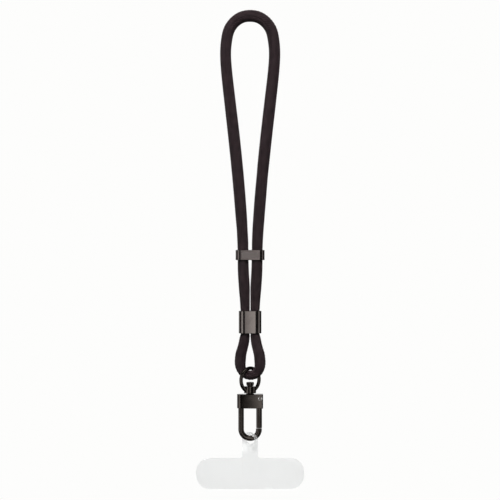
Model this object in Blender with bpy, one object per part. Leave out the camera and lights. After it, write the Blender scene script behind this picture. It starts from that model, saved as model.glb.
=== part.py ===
"""Phone wrist strap, hanging from the inside of its wrist loop.

One braided rope runs through a crimped ferrule twice: above it the rope makes the long wrist
loop, with a metal slider band round both legs, and below it a short eye that carries a wire
ring. The ring is soldered to a small barrel, a riveted post turns in the barrel and carries a
cast hook with a hinged gate, and a clear plastic tab that goes behind a phone hangs in the hook.

Frame: +X to the right and +Z up as the strap is seen from the front, +Y away from the viewer.
The origin is the highest point inside the wrist loop, where it hangs.
"""

import math
from collections import namedtuple

import bmesh
import bpy
from mathutils import Vector

MM = 0.001

# Gap between pieces that touch on the real strap, and between the two legs of the rope
CLEARANCE = 0.3 * MM

# Rope: its free diameter, the two loops that it makes and the seam where its ends meet
ROPE_DIAMETER = 6.5 * MM
WRIST_LOOP_LENGTH = 160.5 * MM
WRIST_LOOP_OPENING = 20.9 * MM
EYE_LENGTH = 20.7 * MM
EYE_OPENING = 4.8 * MM
EYE_SWAY = 2.1 * MM
CRIMPED_GIRTH = 0.765
BENT_GIRTH = 0.8125

# Slider band round both legs of the wrist loop
SLIDER_DROP = 129.5 * MM
SLIDER_HEIGHT = 5.6 * MM
SLIDER_WALL = 0.7 * MM
SLIDER_CORNER_RADIUS = 2.9 * MM
SLIDER_PANEL_WIDTH = 9.2 * MM
SLIDER_PANEL_HEIGHT = 3.4 * MM
SLIDER_PANEL_DEPTH = 0.15 * MM
SLIDER_PANEL_CORNER = 0.85 * MM

# Ferrule crimped round the rope
FERRULE_LENGTH = 12.45 * MM
FERRULE_WALL = 0.85 * MM

# Wire ring through the eye, and the barrel soldered into its lower side
RING_WIRE_DIAMETER = 2.0 * MM
RING_TURN = math.radians(39.5)
BARREL_WALL = 1.75 * MM
BARREL_HEIGHT = 3.75 * MM
BARREL_BELOW_WIRE = 0.85 * MM

# Riveted post that turns in the barrel and is fast in the hook's block
POST_STEM_RADIUS = 1.3 * MM
POST_NECK_STEP = 0.6 * MM
POST_NECK_HEIGHT = 0.5 * MM
POST_HEAD_STEP = 0.25 * MM
POST_HEAD_HEIGHT = 1.55 * MM
POST_HEAD_ROOM = 1.1 * MM
POST_SEAT_DEPTH = 3.4 * MM

# Cast block and hook
BLOCK_HEIGHT = 7.8 * MM
BLOCK_CORNER_RADIUS = 0.6 * MM
BLOCK_CHEEK = 0.9 * MM
BLOCK_ROOF = 0.5 * MM
COLLAR_WALL = 0.65 * MM
COLLAR_HEIGHT = 0.32 * MM
COLLAR_BEVEL = 0.16 * MM
HOOK_WIRE_DIAMETER = 3.1 * MM
HOOK_WIRE_SEAT = 1.95 * MM
HOOK_BEND_RADIUS = 5.0 * MM
HOOK_LEG_LENGTH = 11.7 * MM
HOOK_NOSE_LENGTH = 0.4 * MM
HOOK_NOSE_SWELL = 0.12 * MM

# Gate, its pin, and how far it opens
GATE_WIDTH = 3.2 * MM
PIN_RADIUS = 0.8 * MM
PIN_OUTSIDE_GATE = 0.6 * MM
PIN_SIDE_WALL = 0.5 * MM
GATE_EYE_WALL = 0.4 * MM
GATE_OPENING_ANGLE = math.radians(20.0)

# Clear tab
TAB_THICKNESS = 0.6 * MM
TAB_WIDTH = 60.1 * MM
TAB_PATCH_HEIGHT = 17.1 * MM
TAB_CORNER_RADIUS = 7.9 * MM
TAB_NECK_WIDTH = 8.8 * MM
TAB_NECK_LENGTH = 14.4 * MM
TAB_SHOULDER_RADIUS = 1.2 * MM
TAB_HOLE_RADIUS = 2.5 * MM
TAB_BAND = 1.45 * MM
TAB_TWIST_SPAN = 8.0 * MM
TAB_TWIST_REACH = 2.6 * MM
TAB_TWIST_MARGIN = 0.5 * MM

# Small edge roundings
METAL_EDGE = 0.2 * MM
PIN_EDGE = 0.1 * MM

# How finely the round shapes are cut, and the steepest edge that is shaded smooth
ROPE_BEVEL_STEPS = 4
RING_STEPS = 32
RING_WIRE_SIDES = 10
TURNED_SIDES = 20
GATE_SIDES = 16
PIN_SIDES = 12
HOOK_WIRE_SIDES = 14
HOOK_BEND_STEPS = 18
HOOK_NOSE_STEPS = 4
PANEL_CORNER_STEPS = 3
TAB_ROUND_STEPS = 12
TAB_CORNER_STEPS = 10
TAB_SHOULDER_STEPS = 4
TAB_NECK_COLUMNS = 7
TAB_TWIST_ROWS = 8
SMOOTH_ANGLE = math.radians(35.0)
BEVELLED_ANGLE = math.radians(50.0)
WELD_DISTANCE = 0.001 * MM
LEAST_FLAT = 0.01 * MM

ROPE_RADIUS = ROPE_DIAMETER / 2
LEG_HALF_GAP = CLEARANCE / 2
FERRULE_TOP = -WRIST_LOOP_LENGTH
FERRULE_BOTTOM = FERRULE_TOP - FERRULE_LENGTH
EYE_BOTTOM = FERRULE_BOTTOM - EYE_LENGTH

RING_WIRE_RADIUS = RING_WIRE_DIAMETER / 2
RING_TOP_Z = EYE_BOTTOM + CLEARANCE + RING_WIRE_RADIUS
BARREL_BORE_RADIUS = POST_STEM_RADIUS + CLEARANCE
BARREL_RADIUS = BARREL_BORE_RADIUS + BARREL_WALL
POST_NECK_RADIUS = POST_STEM_RADIUS + POST_NECK_STEP
POST_HEAD_RADIUS = POST_NECK_RADIUS + POST_HEAD_STEP
POST_HEAD_TOP = EYE_BOTTOM - ROPE_DIAMETER * BENT_GIRTH - POST_HEAD_ROOM
POST_HEAD_BOTTOM = POST_HEAD_TOP - POST_HEAD_HEIGHT
POST_NECK_BOTTOM = POST_HEAD_BOTTOM - POST_NECK_HEIGHT
BARREL_TOP = POST_NECK_BOTTOM - CLEARANCE
BARREL_BOTTOM = BARREL_TOP - BARREL_HEIGHT
RING_RADIUS = (RING_TOP_Z - BARREL_BOTTOM - BARREL_BELOW_WIRE) / 2
RING_CENTRE_Z = RING_TOP_Z - RING_RADIUS

COLLAR_RADIUS = BARREL_BORE_RADIUS + COLLAR_WALL
BLOCK_TOP = BARREL_BOTTOM - CLEARANCE - COLLAR_HEIGHT
BLOCK_BOTTOM = BLOCK_TOP - BLOCK_HEIGHT
HOOK_WIRE_RADIUS = HOOK_WIRE_DIAMETER / 2
HOOK_BEND_Z = BLOCK_BOTTOM - HOOK_LEG_LENGTH
HOOK_NOSE_Z = HOOK_BEND_Z + HOOK_NOSE_LENGTH
HOOK_INNER_BOTTOM = HOOK_BEND_Z - HOOK_BEND_RADIUS + HOOK_WIRE_RADIUS
GATE_X = HOOK_BEND_RADIUS
GATE_RADIUS = GATE_WIDTH / 2
GATE_BOTTOM = HOOK_NOSE_Z + CLEARANCE
PIN_HOLE_RADIUS = PIN_RADIUS + CLEARANCE
GATE_EYE_RADIUS = PIN_HOLE_RADIUS + GATE_EYE_WALL
PIN_X = GATE_X + PIN_OUTSIDE_GATE
PIN_Z = BLOCK_TOP - BLOCK_ROOF - CLEARANCE - GATE_EYE_RADIUS
BLOCK_HALF_WIDTH = PIN_X + PIN_HOLE_RADIUS + PIN_SIDE_WALL
BLOCK_HALF_DEPTH = GATE_RADIUS + CLEARANCE + BLOCK_CHEEK

TAB_HOLE_TOP = HOOK_INNER_BOTTOM + CLEARANCE
TAB_HOLE_Z = TAB_HOLE_TOP - TAB_HOLE_RADIUS
TAB_TOP = TAB_HOLE_TOP + TAB_BAND
TAB_NECK_HALF = TAB_NECK_WIDTH / 2
TAB_PATCH_TOP = TAB_TOP - TAB_NECK_LENGTH
TAB_PATCH_BOTTOM = TAB_PATCH_TOP - TAB_PATCH_HEIGHT
TAB_TWIST = HOOK_WIRE_RADIUS + TAB_THICKNESS / 2 + TAB_TWIST_MARGIN

# A station of the rope gives a point on the inner edge of its loop and the way out from there.
# half_gap: share of the loop's half opening; drop: share of the loop's length;
# turn: degrees of the outward direction from straight up; girth: share of the free diameter;
# sway: share of the eye's sway to the back, with the other leg swaying to the front
Station = namedtuple("Station", "half_gap drop turn girth sway")

WRIST_LOOP = (
    Station(0.000, 0.0000, 0.0, 1.040, 0.0),
    Station(0.332, 0.0034, 22.5, 1.030, 0.0),
    Station(0.612, 0.0156, 45.0, 1.020, 0.0),
    Station(0.815, 0.0339, 67.5, 1.015, 0.0),
    Station(0.933, 0.0624, 78.0, 1.000, 0.0),
    Station(1.000, 0.1075, 90.0, 0.975, 0.0),
    Station(0.946, 0.1663, 95.6, 0.990, 0.0),
    Station(0.763, 0.2702, 96.7, 1.015, 0.0),
    Station(0.521, 0.4086, 96.0, 1.015, 0.0),
    Station(0.311, 0.5470, 95.4, 1.010, 0.0),
    Station(0.149, 0.6854, 93.2, 0.985, 0.0),
    Station(0.096, 0.7545, 91.8, 0.950, 0.0),
    Station(0.085, 0.8069, 90.3, 0.930, 0.0),
    Station(0.064, 0.8586, 92.0, 0.955, 0.0),
    Station(0.014, 0.9171, 91.5, 0.950, 0.0),
    Station(0.000, 0.9626, 90.0, 0.852, 0.0),
    Station(0.000, 0.9938, 90.0, 0.800, 0.0),
)

EYE = (
    Station(0.000, 0.075, 90.0, 0.825, 0.12),
    Station(0.130, 0.181, 84.0, 0.880, 0.28),
    Station(0.301, 0.316, 79.0, 0.900, 0.52),
    Station(0.582, 0.452, 76.5, 0.910, 0.76),
    Station(0.837, 0.582, 81.0, 0.950, 0.92),
    Station(0.954, 0.717, 86.0, 0.965, 1.00),
    Station(1.000, 0.800, 90.0, 0.955, 1.00),
    Station(1.000, 0.8845, 90.0, 0.914, 1.00),
    Station(0.929, 0.929, 112.5, 0.846, 0.94),
    Station(0.711, 0.967, 135.0, 0.820, 0.80),
    Station(0.385, 0.991, 157.5, 0.815, 0.46),
    Station(0.000, 1.000, 180.0, BENT_GIRTH, 0.0),
)

# The post's riveted head, from its widest part up to its top.
# rise: share of the head's height; girth: share of the head's radius
HeadStep = namedtuple("HeadStep", "rise girth")

POST_HEAD = (
    HeadStep(0.25, 1.0),
    HeadStep(0.55, 1.0),
    HeadStep(0.85, 0.9),
    HeadStep(1.00, 0.7),
)

RoutePoint = namedtuple("RoutePoint", "x y z radius turn")


def station_point(station, opening, length, start_z):
    """Centre of the rope at a station of the right leg, with its radius there."""
    radius = ROPE_RADIUS * station.girth
    half_gap = station.half_gap * opening / 2
    if station.turn not in (0.0, 180.0):
        half_gap = max(half_gap, LEG_HALF_GAP)
    turn = math.radians(station.turn)
    return RoutePoint(
        half_gap + radius * math.sin(turn),
        -EYE_SWAY * station.sway,
        start_z - station.drop * length + radius * math.cos(turn),
        radius,
        station.turn,
    )


def other_leg(points):
    """The same stations on the left leg: half a turn about the strap's axis, in reverse."""
    return [p._replace(x=-p.x, y=-p.y) for p in reversed(points)]


def rope_route():
    """Points along the rope, from its seam in the ferrule up and round to the seam again."""
    crimped = ROPE_RADIUS * CRIMPED_GIRTH
    crimped_x = crimped + LEG_HALF_GAP
    seam_z = (FERRULE_TOP + FERRULE_BOTTOM) / 2
    wrist = [station_point(s, WRIST_LOOP_OPENING, WRIST_LOOP_LENGTH, 0.0) for s in WRIST_LOOP]
    eye = [station_point(s, EYE_OPENING, EYE_LENGTH, FERRULE_BOTTOM) for s in EYE]
    mouth_top = RoutePoint(crimped_x, 0.0, FERRULE_TOP, crimped, 90.0)
    mouth_bottom = mouth_top._replace(z=FERRULE_BOTTOM)
    upper = wrist + [mouth_top]
    lower = [mouth_bottom] + eye
    start = RoutePoint(-crimped_x, 0.0, seam_z + CLEARANCE / 2, crimped, 90.0)
    end = start._replace(z=seam_z - CLEARANCE / 2)
    return [start] + other_leg(upper[1:]) + upper + lower + other_leg(lower[:-1]) + [end]


def smooth_curve(points, sharp_turn=12.0):
    """A smooth curve through the points, halved once more wherever the rope bends sharply."""
    values = [Vector((p.x, p.y, p.z, p.radius)) for p in points]
    knots = [0.0]
    for first, second in zip(values, values[1:]):
        knots.append(knots[-1] + (second - first).length)
    slopes = []
    for i in range(len(values)):
        low = max(i - 1, 0)
        high = min(i + 1, len(values) - 1)
        slopes.append((values[high] - values[low]) / (knots[high] - knots[low]))
    curve = [values[0]]
    for i in range(len(values) - 1):
        span = knots[i + 1] - knots[i]
        if abs(points[i + 1].turn - points[i].turn) > sharp_turn:
            middle = (values[i] + values[i + 1]) / 2
            curve.append(middle + (slopes[i] - slopes[i + 1]) * span / 8)
        curve.append(values[i + 1])
    return curve


def widest_leg(curve, low_z, high_z):
    """Largest reach to the side and largest radius of the rope between two heights."""
    near = [v for v in curve if low_z <= v.z <= high_z]
    for first, second in zip(curve, curve[1:]):
        for height in (low_z, high_z):
            if (first.z - height) * (second.z - height) < 0:
                near.append(first.lerp(second, (height - first.z) / (second.z - first.z)))
    return max(abs(v.x) + v.w for v in near), max(v.w for v in near)


def new_material(name, colour, roughness, metallic, alpha=1.0):
    """A plain material in the piece's colour."""
    material = bpy.data.materials.new(name)
    material.use_nodes = True
    shader = material.node_tree.nodes["Principled BSDF"]
    shader.inputs["Base Color"].default_value = (*colour, 1.0)
    shader.inputs["Roughness"].default_value = roughness
    shader.inputs["Metallic"].default_value = metallic
    shader.inputs["Alpha"].default_value = alpha
    return material


def new_object(name, data, material=None):
    """Link an object to the scene, with its material."""
    obj = bpy.data.objects.new(name, data)
    bpy.context.scene.collection.objects.link(obj)
    if material is not None:
        data.materials.append(material)
    return obj


def finish_mesh(name, mesh, material=None):
    """Turn a closed bmesh into a smooth-shaded object."""
    bmesh.ops.remove_doubles(mesh, verts=mesh.verts, dist=WELD_DISTANCE)
    bmesh.ops.recalc_face_normals(mesh, faces=mesh.faces)
    data = bpy.data.meshes.new(name)
    mesh.to_mesh(data)
    mesh.free()
    data.shade_smooth()
    data.set_sharp_from_angle(angle=SMOOTH_ANGLE)
    return new_object(name, data, material)


def as_cutter(obj):
    """Keep a helper solid for Boolean work only."""
    obj.hide_render = True
    obj.display_type = "WIRE"
    return obj


def combine(target, helper, operation):
    """Join a helper solid to the target, or cut the target with it."""
    as_cutter(helper)
    modifier = target.modifiers.new(helper.name, "BOOLEAN")
    modifier.operation = operation
    modifier.solver = "EXACT"
    modifier.object = helper


def arc(centre_x, centre_z, radius, start, end, steps):
    """Points on an arc, angles in degrees from +X."""
    angles = [math.radians(start + (end - start) * i / steps) for i in range(steps + 1)]
    return [(centre_x + radius * math.cos(a), centre_z + radius * math.sin(a)) for a in angles]


def rounded_plan(half_width, half_depth, left_radius, right_radius, steps=6):
    """Outline of a block seen from above, with its own corner radius at each end."""
    left = min(left_radius, half_depth - LEAST_FLAT)
    right = min(right_radius, half_depth - LEAST_FLAT)
    outline = arc(half_width - right, half_depth - right, right, 0, 90, steps)
    outline += arc(left - half_width, half_depth - left, left, 90, 180, steps)
    outline += arc(left - half_width, left - half_depth, left, 180, 270, steps)
    outline += arc(half_width - right, right - half_depth, right, 270, 360, steps)
    return outline


def ring_of(mesh, outline, z):
    """A closed row of vertices at one height."""
    return [mesh.verts.new((x, y, z)) for x, y in outline]


def join_rows(mesh, first, second):
    """Faces between two closed rows of vertices."""
    for i in range(len(first)):
        j = (i + 1) % len(first)
        mesh.faces.new((first[i], first[j], second[j], second[i]))


def bevel_edges(obj):
    """Round the sharp edges of a metal piece."""
    modifier = obj.modifiers.new("edges", "BEVEL")
    modifier.width = METAL_EDGE
    modifier.segments = 2
    modifier.limit_method = "ANGLE"
    modifier.angle_limit = BEVELLED_ANGLE


def sleeve(name, half_width, half_depth, corner_radius, wall, z_low, z_high, material):
    """An oval tube, open at both ends."""
    mesh = bmesh.new()
    outer = rounded_plan(half_width, half_depth, corner_radius, corner_radius)
    inner_radius = corner_radius - wall
    inner = rounded_plan(half_width - wall, half_depth - wall, inner_radius, inner_radius)
    rows = [ring_of(mesh, outer, z_low), ring_of(mesh, outer, z_high)]
    rows += [ring_of(mesh, inner, z_high), ring_of(mesh, inner, z_low)]
    for i in range(4):
        join_rows(mesh, rows[i], rows[(i + 1) % 4])
    obj = finish_mesh(name, mesh, material)
    bevel_edges(obj)
    return obj


def turned(name, profile, steps, material=None, axis="Z", centre=(0.0, 0.0, 0.0)):
    """A solid turned from a profile of (radius, height) points, along Z or along Y."""
    mesh = bmesh.new()
    verts = [mesh.verts.new((radius, 0.0, height)) for radius, height in profile]
    edges = [mesh.edges.new(pair) for pair in zip(verts, verts[1:])]
    bmesh.ops.spin(
        mesh, geom=verts + edges, cent=(0, 0, 0), axis=(0, 0, 1),
        angle=math.tau, steps=steps, use_merge=True,
    )
    if axis == "Y":
        for vert in mesh.verts:
            vert.co = Vector((vert.co.x, -vert.co.z, vert.co.y))
    bmesh.ops.translate(mesh, verts=mesh.verts, vec=centre)
    return finish_mesh(name, mesh, material)


def round_bar(name, path, radii, sides, closed, turn=0.0, material=None):
    """Round wire along a flat path of (along, height) points, turned about Z."""
    mesh = bmesh.new()
    along = Vector((math.cos(turn), math.sin(turn), 0.0))
    depth = Vector((-math.sin(turn), math.cos(turn), 0.0))
    count = len(path)
    rows = []
    for i in range(count):
        before = path[i - 1] if closed or i > 0 else path[i]
        after = path[(i + 1) % count] if closed or i < count - 1 else path[i]
        tangent = Vector((after[0] - before[0], after[1] - before[1])).normalized()
        side = along * -tangent.y + Vector((0.0, 0.0, tangent.x))
        centre = along * path[i][0] + Vector((0.0, 0.0, path[i][1]))
        row = []
        for k in range(sides):
            angle = math.tau * (k + 0.5) / sides
            offset = side * math.cos(angle) + depth * math.sin(angle)
            row.append(mesh.verts.new(centre + offset * radii[i]))
        rows.append(row)
    for i in range(count if closed else count - 1):
        join_rows(mesh, rows[i], rows[(i + 1) % count])
    if not closed:
        mesh.faces.new(rows[0])
        mesh.faces.new(rows[-1])
    return finish_mesh(name, mesh, material)


def slab(name, outline, low_y, high_y):
    """A flat outline of (x, z) points, extruded along Y."""
    mesh = bmesh.new()
    front = [mesh.verts.new((x, low_y, z)) for x, z in outline]
    back = [mesh.verts.new((x, high_y, z)) for x, z in outline]
    join_rows(mesh, front, back)
    mesh.faces.new(front)
    mesh.faces.new(back)
    return finish_mesh(name, mesh)


def disc_profile(radius, low, high, edge):
    """Profile of a disc with broken edges."""
    return [
        (0.0, low), (radius - edge, low), (radius, low + edge),
        (radius, high - edge), (radius - edge, high), (0.0, high),
    ]


def bore_profile(radius, low, high):
    """Profile of a plain cylinder, for a bore."""
    return [(0.0, low), (radius, low), (radius, high), (0.0, high)]


def make_rope(curve, material):
    """The braided rope, as a tube whose ends meet inside the ferrule."""
    data = bpy.data.curves.new("strap_rope", "CURVE")
    data.dimensions = "3D"
    data.bevel_depth = ROPE_RADIUS
    data.bevel_resolution = ROPE_BEVEL_STEPS
    data.use_fill_caps = True
    spline = data.splines.new("POLY")
    spline.points.add(len(curve) - 1)
    for point, value in zip(spline.points, curve):
        point.co = (value.x, value.y, value.z, 1.0)
        point.radius = value.w / ROPE_RADIUS
    return new_object("strap_rope", data, material)


def make_slider(curve, material):
    """The slider band, sized round both legs of the rope, with a plain sunk panel in front."""
    low = -SLIDER_DROP - SLIDER_HEIGHT / 2
    high = -SLIDER_DROP + SLIDER_HEIGHT / 2
    reach, radius = widest_leg(curve, low, high)
    half_width = reach + CLEARANCE + SLIDER_WALL
    half_depth = radius + CLEARANCE + SLIDER_WALL
    band = sleeve(
        "slider_band", half_width, half_depth, SLIDER_CORNER_RADIUS, SLIDER_WALL,
        low, high, material,
    )
    outline = rounded_plan(
        SLIDER_PANEL_WIDTH / 2, SLIDER_PANEL_HEIGHT / 2,
        SLIDER_PANEL_CORNER, SLIDER_PANEL_CORNER, PANEL_CORNER_STEPS,
    )
    outline = [(x, z - SLIDER_DROP) for x, z in outline]
    panel = slab(
        "slider_panel_cut", outline,
        -half_depth - SLIDER_WALL, -half_depth + SLIDER_PANEL_DEPTH,
    )
    combine(band, panel, "DIFFERENCE")
    return band


def make_ferrule(material):
    """The crimped ferrule, sized round both squeezed legs."""
    crimped = ROPE_RADIUS * CRIMPED_GIRTH
    half_width = 2 * crimped + LEG_HALF_GAP + CLEARANCE + FERRULE_WALL
    half_depth = crimped + CLEARANCE + FERRULE_WALL
    return sleeve(
        "ferrule", half_width, half_depth, half_depth, FERRULE_WALL,
        FERRULE_BOTTOM, FERRULE_TOP, material,
    )


def make_ring(material):
    """The wire ring with the barrel soldered into it, bored for the post."""
    path = arc(0.0, RING_CENTRE_Z, RING_RADIUS, -90, 270, RING_STEPS)[:-1]
    radii = [RING_WIRE_RADIUS] * len(path)
    ring = round_bar("swivel_ring", path, radii, RING_WIRE_SIDES, True, RING_TURN, material)
    barrel_profile = disc_profile(BARREL_RADIUS, BARREL_BOTTOM, BARREL_TOP, METAL_EDGE)
    combine(ring, turned("barrel_blank", barrel_profile, TURNED_SIDES), "UNION")
    through = bore_profile(
        BARREL_BORE_RADIUS, BARREL_BOTTOM - METAL_EDGE, BARREL_TOP + METAL_EDGE
    )
    combine(ring, turned("barrel_bore", through, TURNED_SIDES), "DIFFERENCE")
    return ring


def make_post(material):
    """The riveted post, from its head inside the ring down into the block."""
    foot = BLOCK_TOP - POST_SEAT_DEPTH
    profile = [
        (0.0, foot),
        (POST_STEM_RADIUS, foot),
        (POST_STEM_RADIUS, POST_NECK_BOTTOM),
        (POST_NECK_RADIUS, POST_NECK_BOTTOM),
        (POST_NECK_RADIUS, POST_HEAD_BOTTOM),
    ]
    for step in POST_HEAD:
        height = POST_HEAD_BOTTOM + POST_HEAD_HEIGHT * step.rise
        profile.append((POST_HEAD_RADIUS * step.girth, height))
    profile.append((0.0, POST_HEAD_TOP))
    return turned("swivel_post", profile, TURNED_SIDES, material)


def swung(x, z):
    """Where a point of the gate's outline goes when the gate is fully open."""
    sine = math.sin(GATE_OPENING_ANGLE)
    cosine = math.cos(GATE_OPENING_ANGLE)
    along = x - PIN_X
    up = z - PIN_Z
    return PIN_X + along * cosine + up * sine, PIN_Z - along * sine + up * cosine


def gate_slot():
    """The room in the block that the gate turns in, open below and at the side."""
    eye_left = PIN_X - GATE_EYE_RADIUS - CLEARANCE
    shaft_left = GATE_X - GATE_RADIUS - CLEARANCE
    upper_left = min(eye_left, shaft_left)
    roof = PIN_Z + GATE_EYE_RADIUS + CLEARANCE
    below = BLOCK_BOTTOM - METAL_EDGE
    open_left = swung(shaft_left - CLEARANCE, below)[0]
    outside = BLOCK_HALF_WIDTH * 2
    outline = [
        (outside, roof), (upper_left, roof), (upper_left, PIN_Z - CLEARANCE),
        (open_left, below), (outside, below),
    ]
    half_width = GATE_RADIUS + CLEARANCE
    return slab("gate_slot_cut", outline, -half_width, half_width)


def pin_hole(name):
    """A cutter along the gate's pin, right through the block."""
    reach = BLOCK_HALF_DEPTH + BLOCK_CHEEK
    profile = bore_profile(PIN_HOLE_RADIUS, -reach, reach)
    return turned(name, profile, GATE_SIDES, axis="Y", centre=(PIN_X, 0.0, PIN_Z))


def block_blank(material):
    """The cast block: round at its left end, nearly square at the gate's end."""
    mesh = bmesh.new()
    inset = METAL_EDGE
    plan = rounded_plan(
        BLOCK_HALF_WIDTH, BLOCK_HALF_DEPTH, BLOCK_HALF_DEPTH, BLOCK_CORNER_RADIUS
    )
    narrow = rounded_plan(
        BLOCK_HALF_WIDTH - inset, BLOCK_HALF_DEPTH - inset,
        BLOCK_HALF_DEPTH - inset, BLOCK_CORNER_RADIUS - inset,
    )
    rows = [
        ring_of(mesh, narrow, BLOCK_BOTTOM),
        ring_of(mesh, plan, BLOCK_BOTTOM + inset),
        ring_of(mesh, plan, BLOCK_TOP - inset),
        ring_of(mesh, narrow, BLOCK_TOP),
    ]
    for first, second in zip(rows, rows[1:]):
        join_rows(mesh, first, second)
    mesh.faces.new(rows[0])
    mesh.faces.new(rows[-1])
    return finish_mesh("clasp_hook", mesh, material)


def hook_wire():
    """The hook's wire, from inside the block round to its slightly thicker nose."""
    path = [(-HOOK_BEND_RADIUS, BLOCK_BOTTOM + HOOK_WIRE_SEAT)]
    radii = [HOOK_WIRE_RADIUS]
    for i in range(HOOK_BEND_STEPS + 1):
        into_nose = max(i - HOOK_BEND_STEPS + HOOK_NOSE_STEPS, 0)
        swell = HOOK_NOSE_SWELL * into_nose / HOOK_NOSE_STEPS
        angle = math.pi * (1 + i / HOOK_BEND_STEPS)
        bend = HOOK_BEND_RADIUS - swell
        path.append((bend * math.cos(angle), HOOK_BEND_Z + bend * math.sin(angle)))
        radii.append(HOOK_WIRE_RADIUS + swell)
    path.append((path[-1][0], HOOK_NOSE_Z))
    radii.append(radii[-1])
    return round_bar("hook_blank", path, radii, HOOK_WIRE_SIDES, False)


def make_hook(material):
    """The cast block with its hook, bored for the post and slotted for the gate."""
    hook = block_blank(material)
    collar_foot = BLOCK_TOP - METAL_EDGE
    collar_top = BLOCK_TOP + COLLAR_HEIGHT
    collar = turned("collar_blank", [
        (0.0, collar_foot),
        (COLLAR_RADIUS, collar_foot),
        (COLLAR_RADIUS, BLOCK_TOP),
        (COLLAR_RADIUS - COLLAR_BEVEL, collar_top),
        (0.0, collar_top),
    ], TURNED_SIDES)
    combine(hook, collar, "UNION")
    combine(hook, hook_wire(), "UNION")
    bore_bottom = BLOCK_TOP - POST_SEAT_DEPTH - CLEARANCE
    post_bore = bore_profile(BARREL_BORE_RADIUS, bore_bottom, collar_top + COLLAR_HEIGHT)
    combine(hook, turned("post_bore", post_bore, TURNED_SIDES), "DIFFERENCE")
    combine(hook, gate_slot(), "DIFFERENCE")
    combine(hook, pin_hole("pin_hole"), "DIFFERENCE")
    return hook


def make_gate(material):
    """The hinged gate: a round bar with an eye for the pin."""
    edge = METAL_EDGE
    shaft = turned("gate", [
        (0.0, GATE_BOTTOM), (GATE_RADIUS - edge, GATE_BOTTOM), (GATE_RADIUS, GATE_BOTTOM + edge),
        (GATE_RADIUS, PIN_Z), (0.0, PIN_Z),
    ], GATE_SIDES, material, centre=(GATE_X, 0.0, 0.0))
    eye_profile = disc_profile(GATE_EYE_RADIUS, -GATE_RADIUS, GATE_RADIUS, edge)
    eye = turned(
        "gate_eye_blank", eye_profile, GATE_SIDES, axis="Y", centre=(PIN_X, 0.0, PIN_Z)
    )
    combine(shaft, eye, "UNION")
    combine(shaft, pin_hole("gate_eye_hole"), "DIFFERENCE")
    return shaft


def make_pin(material):
    """The pin that the gate turns on, flush with the block's two faces."""
    profile = disc_profile(PIN_RADIUS, -BLOCK_HALF_DEPTH, BLOCK_HALF_DEPTH, PIN_EDGE)
    centre = (PIN_X, 0.0, PIN_Z)
    return turned("gate_pin", profile, PIN_SIDES, material, axis="Y", centre=centre)


def tab_half_outline():
    """Right half of the tab's outline, from the crown down and back up round the hole."""
    outline = arc(0.0, TAB_TOP - TAB_NECK_HALF, TAB_NECK_HALF, 90, 0, TAB_ROUND_STEPS)
    shoulder = TAB_SHOULDER_RADIUS
    shoulder_x = TAB_NECK_HALF + shoulder
    outline += arc(
        shoulder_x, TAB_PATCH_TOP + shoulder, shoulder, 180, 270, TAB_SHOULDER_STEPS
    )
    corner = TAB_CORNER_RADIUS
    corner_x = TAB_WIDTH / 2 - corner
    outline += arc(corner_x, TAB_PATCH_TOP - corner, corner, 90, 0, TAB_CORNER_STEPS)
    outline += arc(corner_x, TAB_PATCH_BOTTOM + corner, corner, 0, -90, TAB_CORNER_STEPS)
    outline.append((0.0, TAB_PATCH_BOTTOM))
    outline += arc(0.0, TAB_HOLE_Z, TAB_HOLE_RADIUS, -90, 90, TAB_ROUND_STEPS)
    return outline


def tab_twist(x, z):
    """How far the soft tab is twisted out of its plane where the hook runs through it."""
    level = min(abs(x) / TAB_TWIST_REACH, 1.0)
    side = math.copysign(math.sin(level * math.pi / 2), x)
    fall = (TAB_HOLE_Z - z) / TAB_TWIST_SPAN
    hold = 1.0 - min(max(fall, 0.0), 1.0)
    return -TAB_TWIST * side * hold * hold * (3.0 - 2.0 * hold)


def make_tab(material):
    """The clear tab: a thin T-shaped sheet, twisted a little round the hook's wire."""
    mesh = bmesh.new()
    mesh.faces.new([mesh.verts.new((x, 0.0, z)) for x, z in tab_half_outline()])
    column = TAB_NECK_HALF / TAB_NECK_COLUMNS
    row = TAB_TWIST_SPAN / TAB_TWIST_ROWS
    cuts = [((column * i, 0.0, 0.0), (1.0, 0.0, 0.0)) for i in range(1, TAB_NECK_COLUMNS)]
    bend_rows = math.ceil((TAB_TOP - TAB_HOLE_Z + TAB_TWIST_SPAN) / row)
    cuts += [((0.0, 0.0, TAB_TOP - row * i), (0.0, 0.0, 1.0)) for i in range(1, bend_rows + 1)]
    for point, normal in cuts:
        geometry = mesh.verts[:] + mesh.edges[:] + mesh.faces[:]
        bmesh.ops.bisect_plane(mesh, geom=geometry, plane_co=point, plane_no=normal)
    bmesh.ops.triangulate(mesh, faces=mesh.faces)
    bmesh.ops.mirror(
        mesh, geom=mesh.verts[:] + mesh.edges[:] + mesh.faces[:],
        axis="X", merge_dist=WELD_DISTANCE,
    )
    for vert in mesh.verts:
        vert.co.y = tab_twist(vert.co.x, vert.co.z)
    obj = finish_mesh("phone_tab", mesh, material)
    modifier = obj.modifiers.new("thickness", "SOLIDIFY")
    modifier.thickness = TAB_THICKNESS
    modifier.offset = 0.0
    modifier.use_even_offset = True
    return obj


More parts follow.
